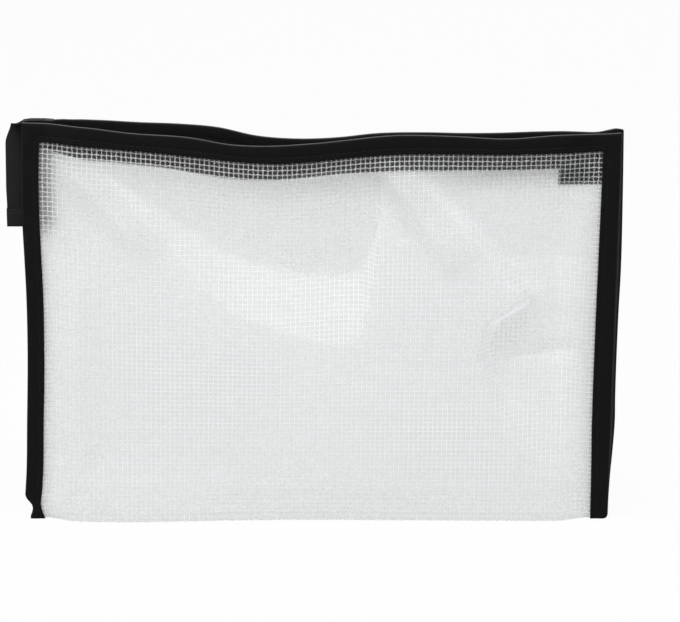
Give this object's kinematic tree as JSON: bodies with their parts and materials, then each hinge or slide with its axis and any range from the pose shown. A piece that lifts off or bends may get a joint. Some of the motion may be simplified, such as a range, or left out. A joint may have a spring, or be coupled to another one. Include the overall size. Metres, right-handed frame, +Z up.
{
  "type": "document wallet",
  "caption": "Clear mesh-reinforced zip wallet for A4 papers, bound in black woven tape, standing with its mouth unzipped and the zip's closed end hanging behind as a tail.",
  "frame": {"origin": "middle of the base fold's underside, where the wallet stands", "axes": "+X along the mouth to the right, +Y to the back, +Z up"},
  "size_m": [0.35, 0.0228, 0.2356],
  "materials": {
    "clear_mesh": "glossy clear film over a white woven scrim",
    "binding_tape": "black woven binding tape",
    "zip_tape": "black herringbone zip tape",
    "thread": "black sewing thread",
    "zip_coil": "black nylon coil",
    "zip_stop": "black pressed stop",
    "slider_metal": "black enamelled casting"
  },
  "bodies": {
    "wallet": {"front_panel": "clear_mesh", "back_panel": "clear_mesh", "base_fold": "clear_mesh", "left_binding": "binding_tape", "right_binding": "binding_tape", "front_top_binding": "binding_tape", "back_top_binding": "binding_tape", "front_top_seam": "thread", "back_top_seam": "thread", "left_side_seam": "thread", "right_side_seam": "thread", "front_tape_margin": "zip_tape", "back_tape_margin": "zip_tape", "front_tape_lead": "zip_tape", "back_tape_lead": "zip_tape", "back_tape_end": "zip_tape", "zip_end_tab": "zip_tape", "tail_root": "zip_tape"},
    "front_zip_half": {"front_zip_tape": "zip_tape", "front_zip_coil": "zip_coil", "front_top_stop": "zip_stop"},
    "back_zip_half": {"back_zip_tape": "zip_tape", "back_zip_coil": "zip_coil", "back_top_stop": "zip_stop"},
    "zip_tail": {"tail_outer_tape": "zip_tape", "tail_inner_tape": "zip_tape", "tail_outer_coil": "zip_coil", "tail_inner_coil": "zip_coil", "tail_bottom_stop": "zip_stop", "tail_end_tab": "zip_tape", "tail_end_seam": "thread"},
    "slider": {"slider_body": "slider_metal", "slider_bridge": "slider_metal"},
    "puller": {"puller_tab": "slider_metal"}
  },
  "joints": [
    {"name": "front_half_swing", "type": "hinge", "parent": "wallet", "child": "front_zip_half", "pos_m": [0, -0.0066, 0.2237], "axis": [1, 0, 0], "range_deg": [0, 34]},
    {"name": "back_half_swing", "type": "hinge", "parent": "wallet", "child": "back_zip_half", "pos_m": [0, 0.0066, 0.2237], "axis": [-1, 0, 0], "range_deg": [0, 34]},
    {"name": "tail_lift", "type": "hinge", "parent": "wallet", "child": "zip_tail", "pos_m": [-0.166, 0.00736, 0.23535], "axis": [1, 0, 0], "range_deg": [0, 135]},
    {"name": "slider_travel", "type": "slide", "parent": "zip_tail", "child": "slider", "axis": [0, 0, 1], "range_m": [0, 0.0295]},
    {"name": "puller_swing", "type": "hinge", "parent": "slider", "child": "puller", "pos_m": [-0.166, 0.01151, 0.19645], "axis": [1, 0, 0], "range_deg": [0, 150]}
  ]
}
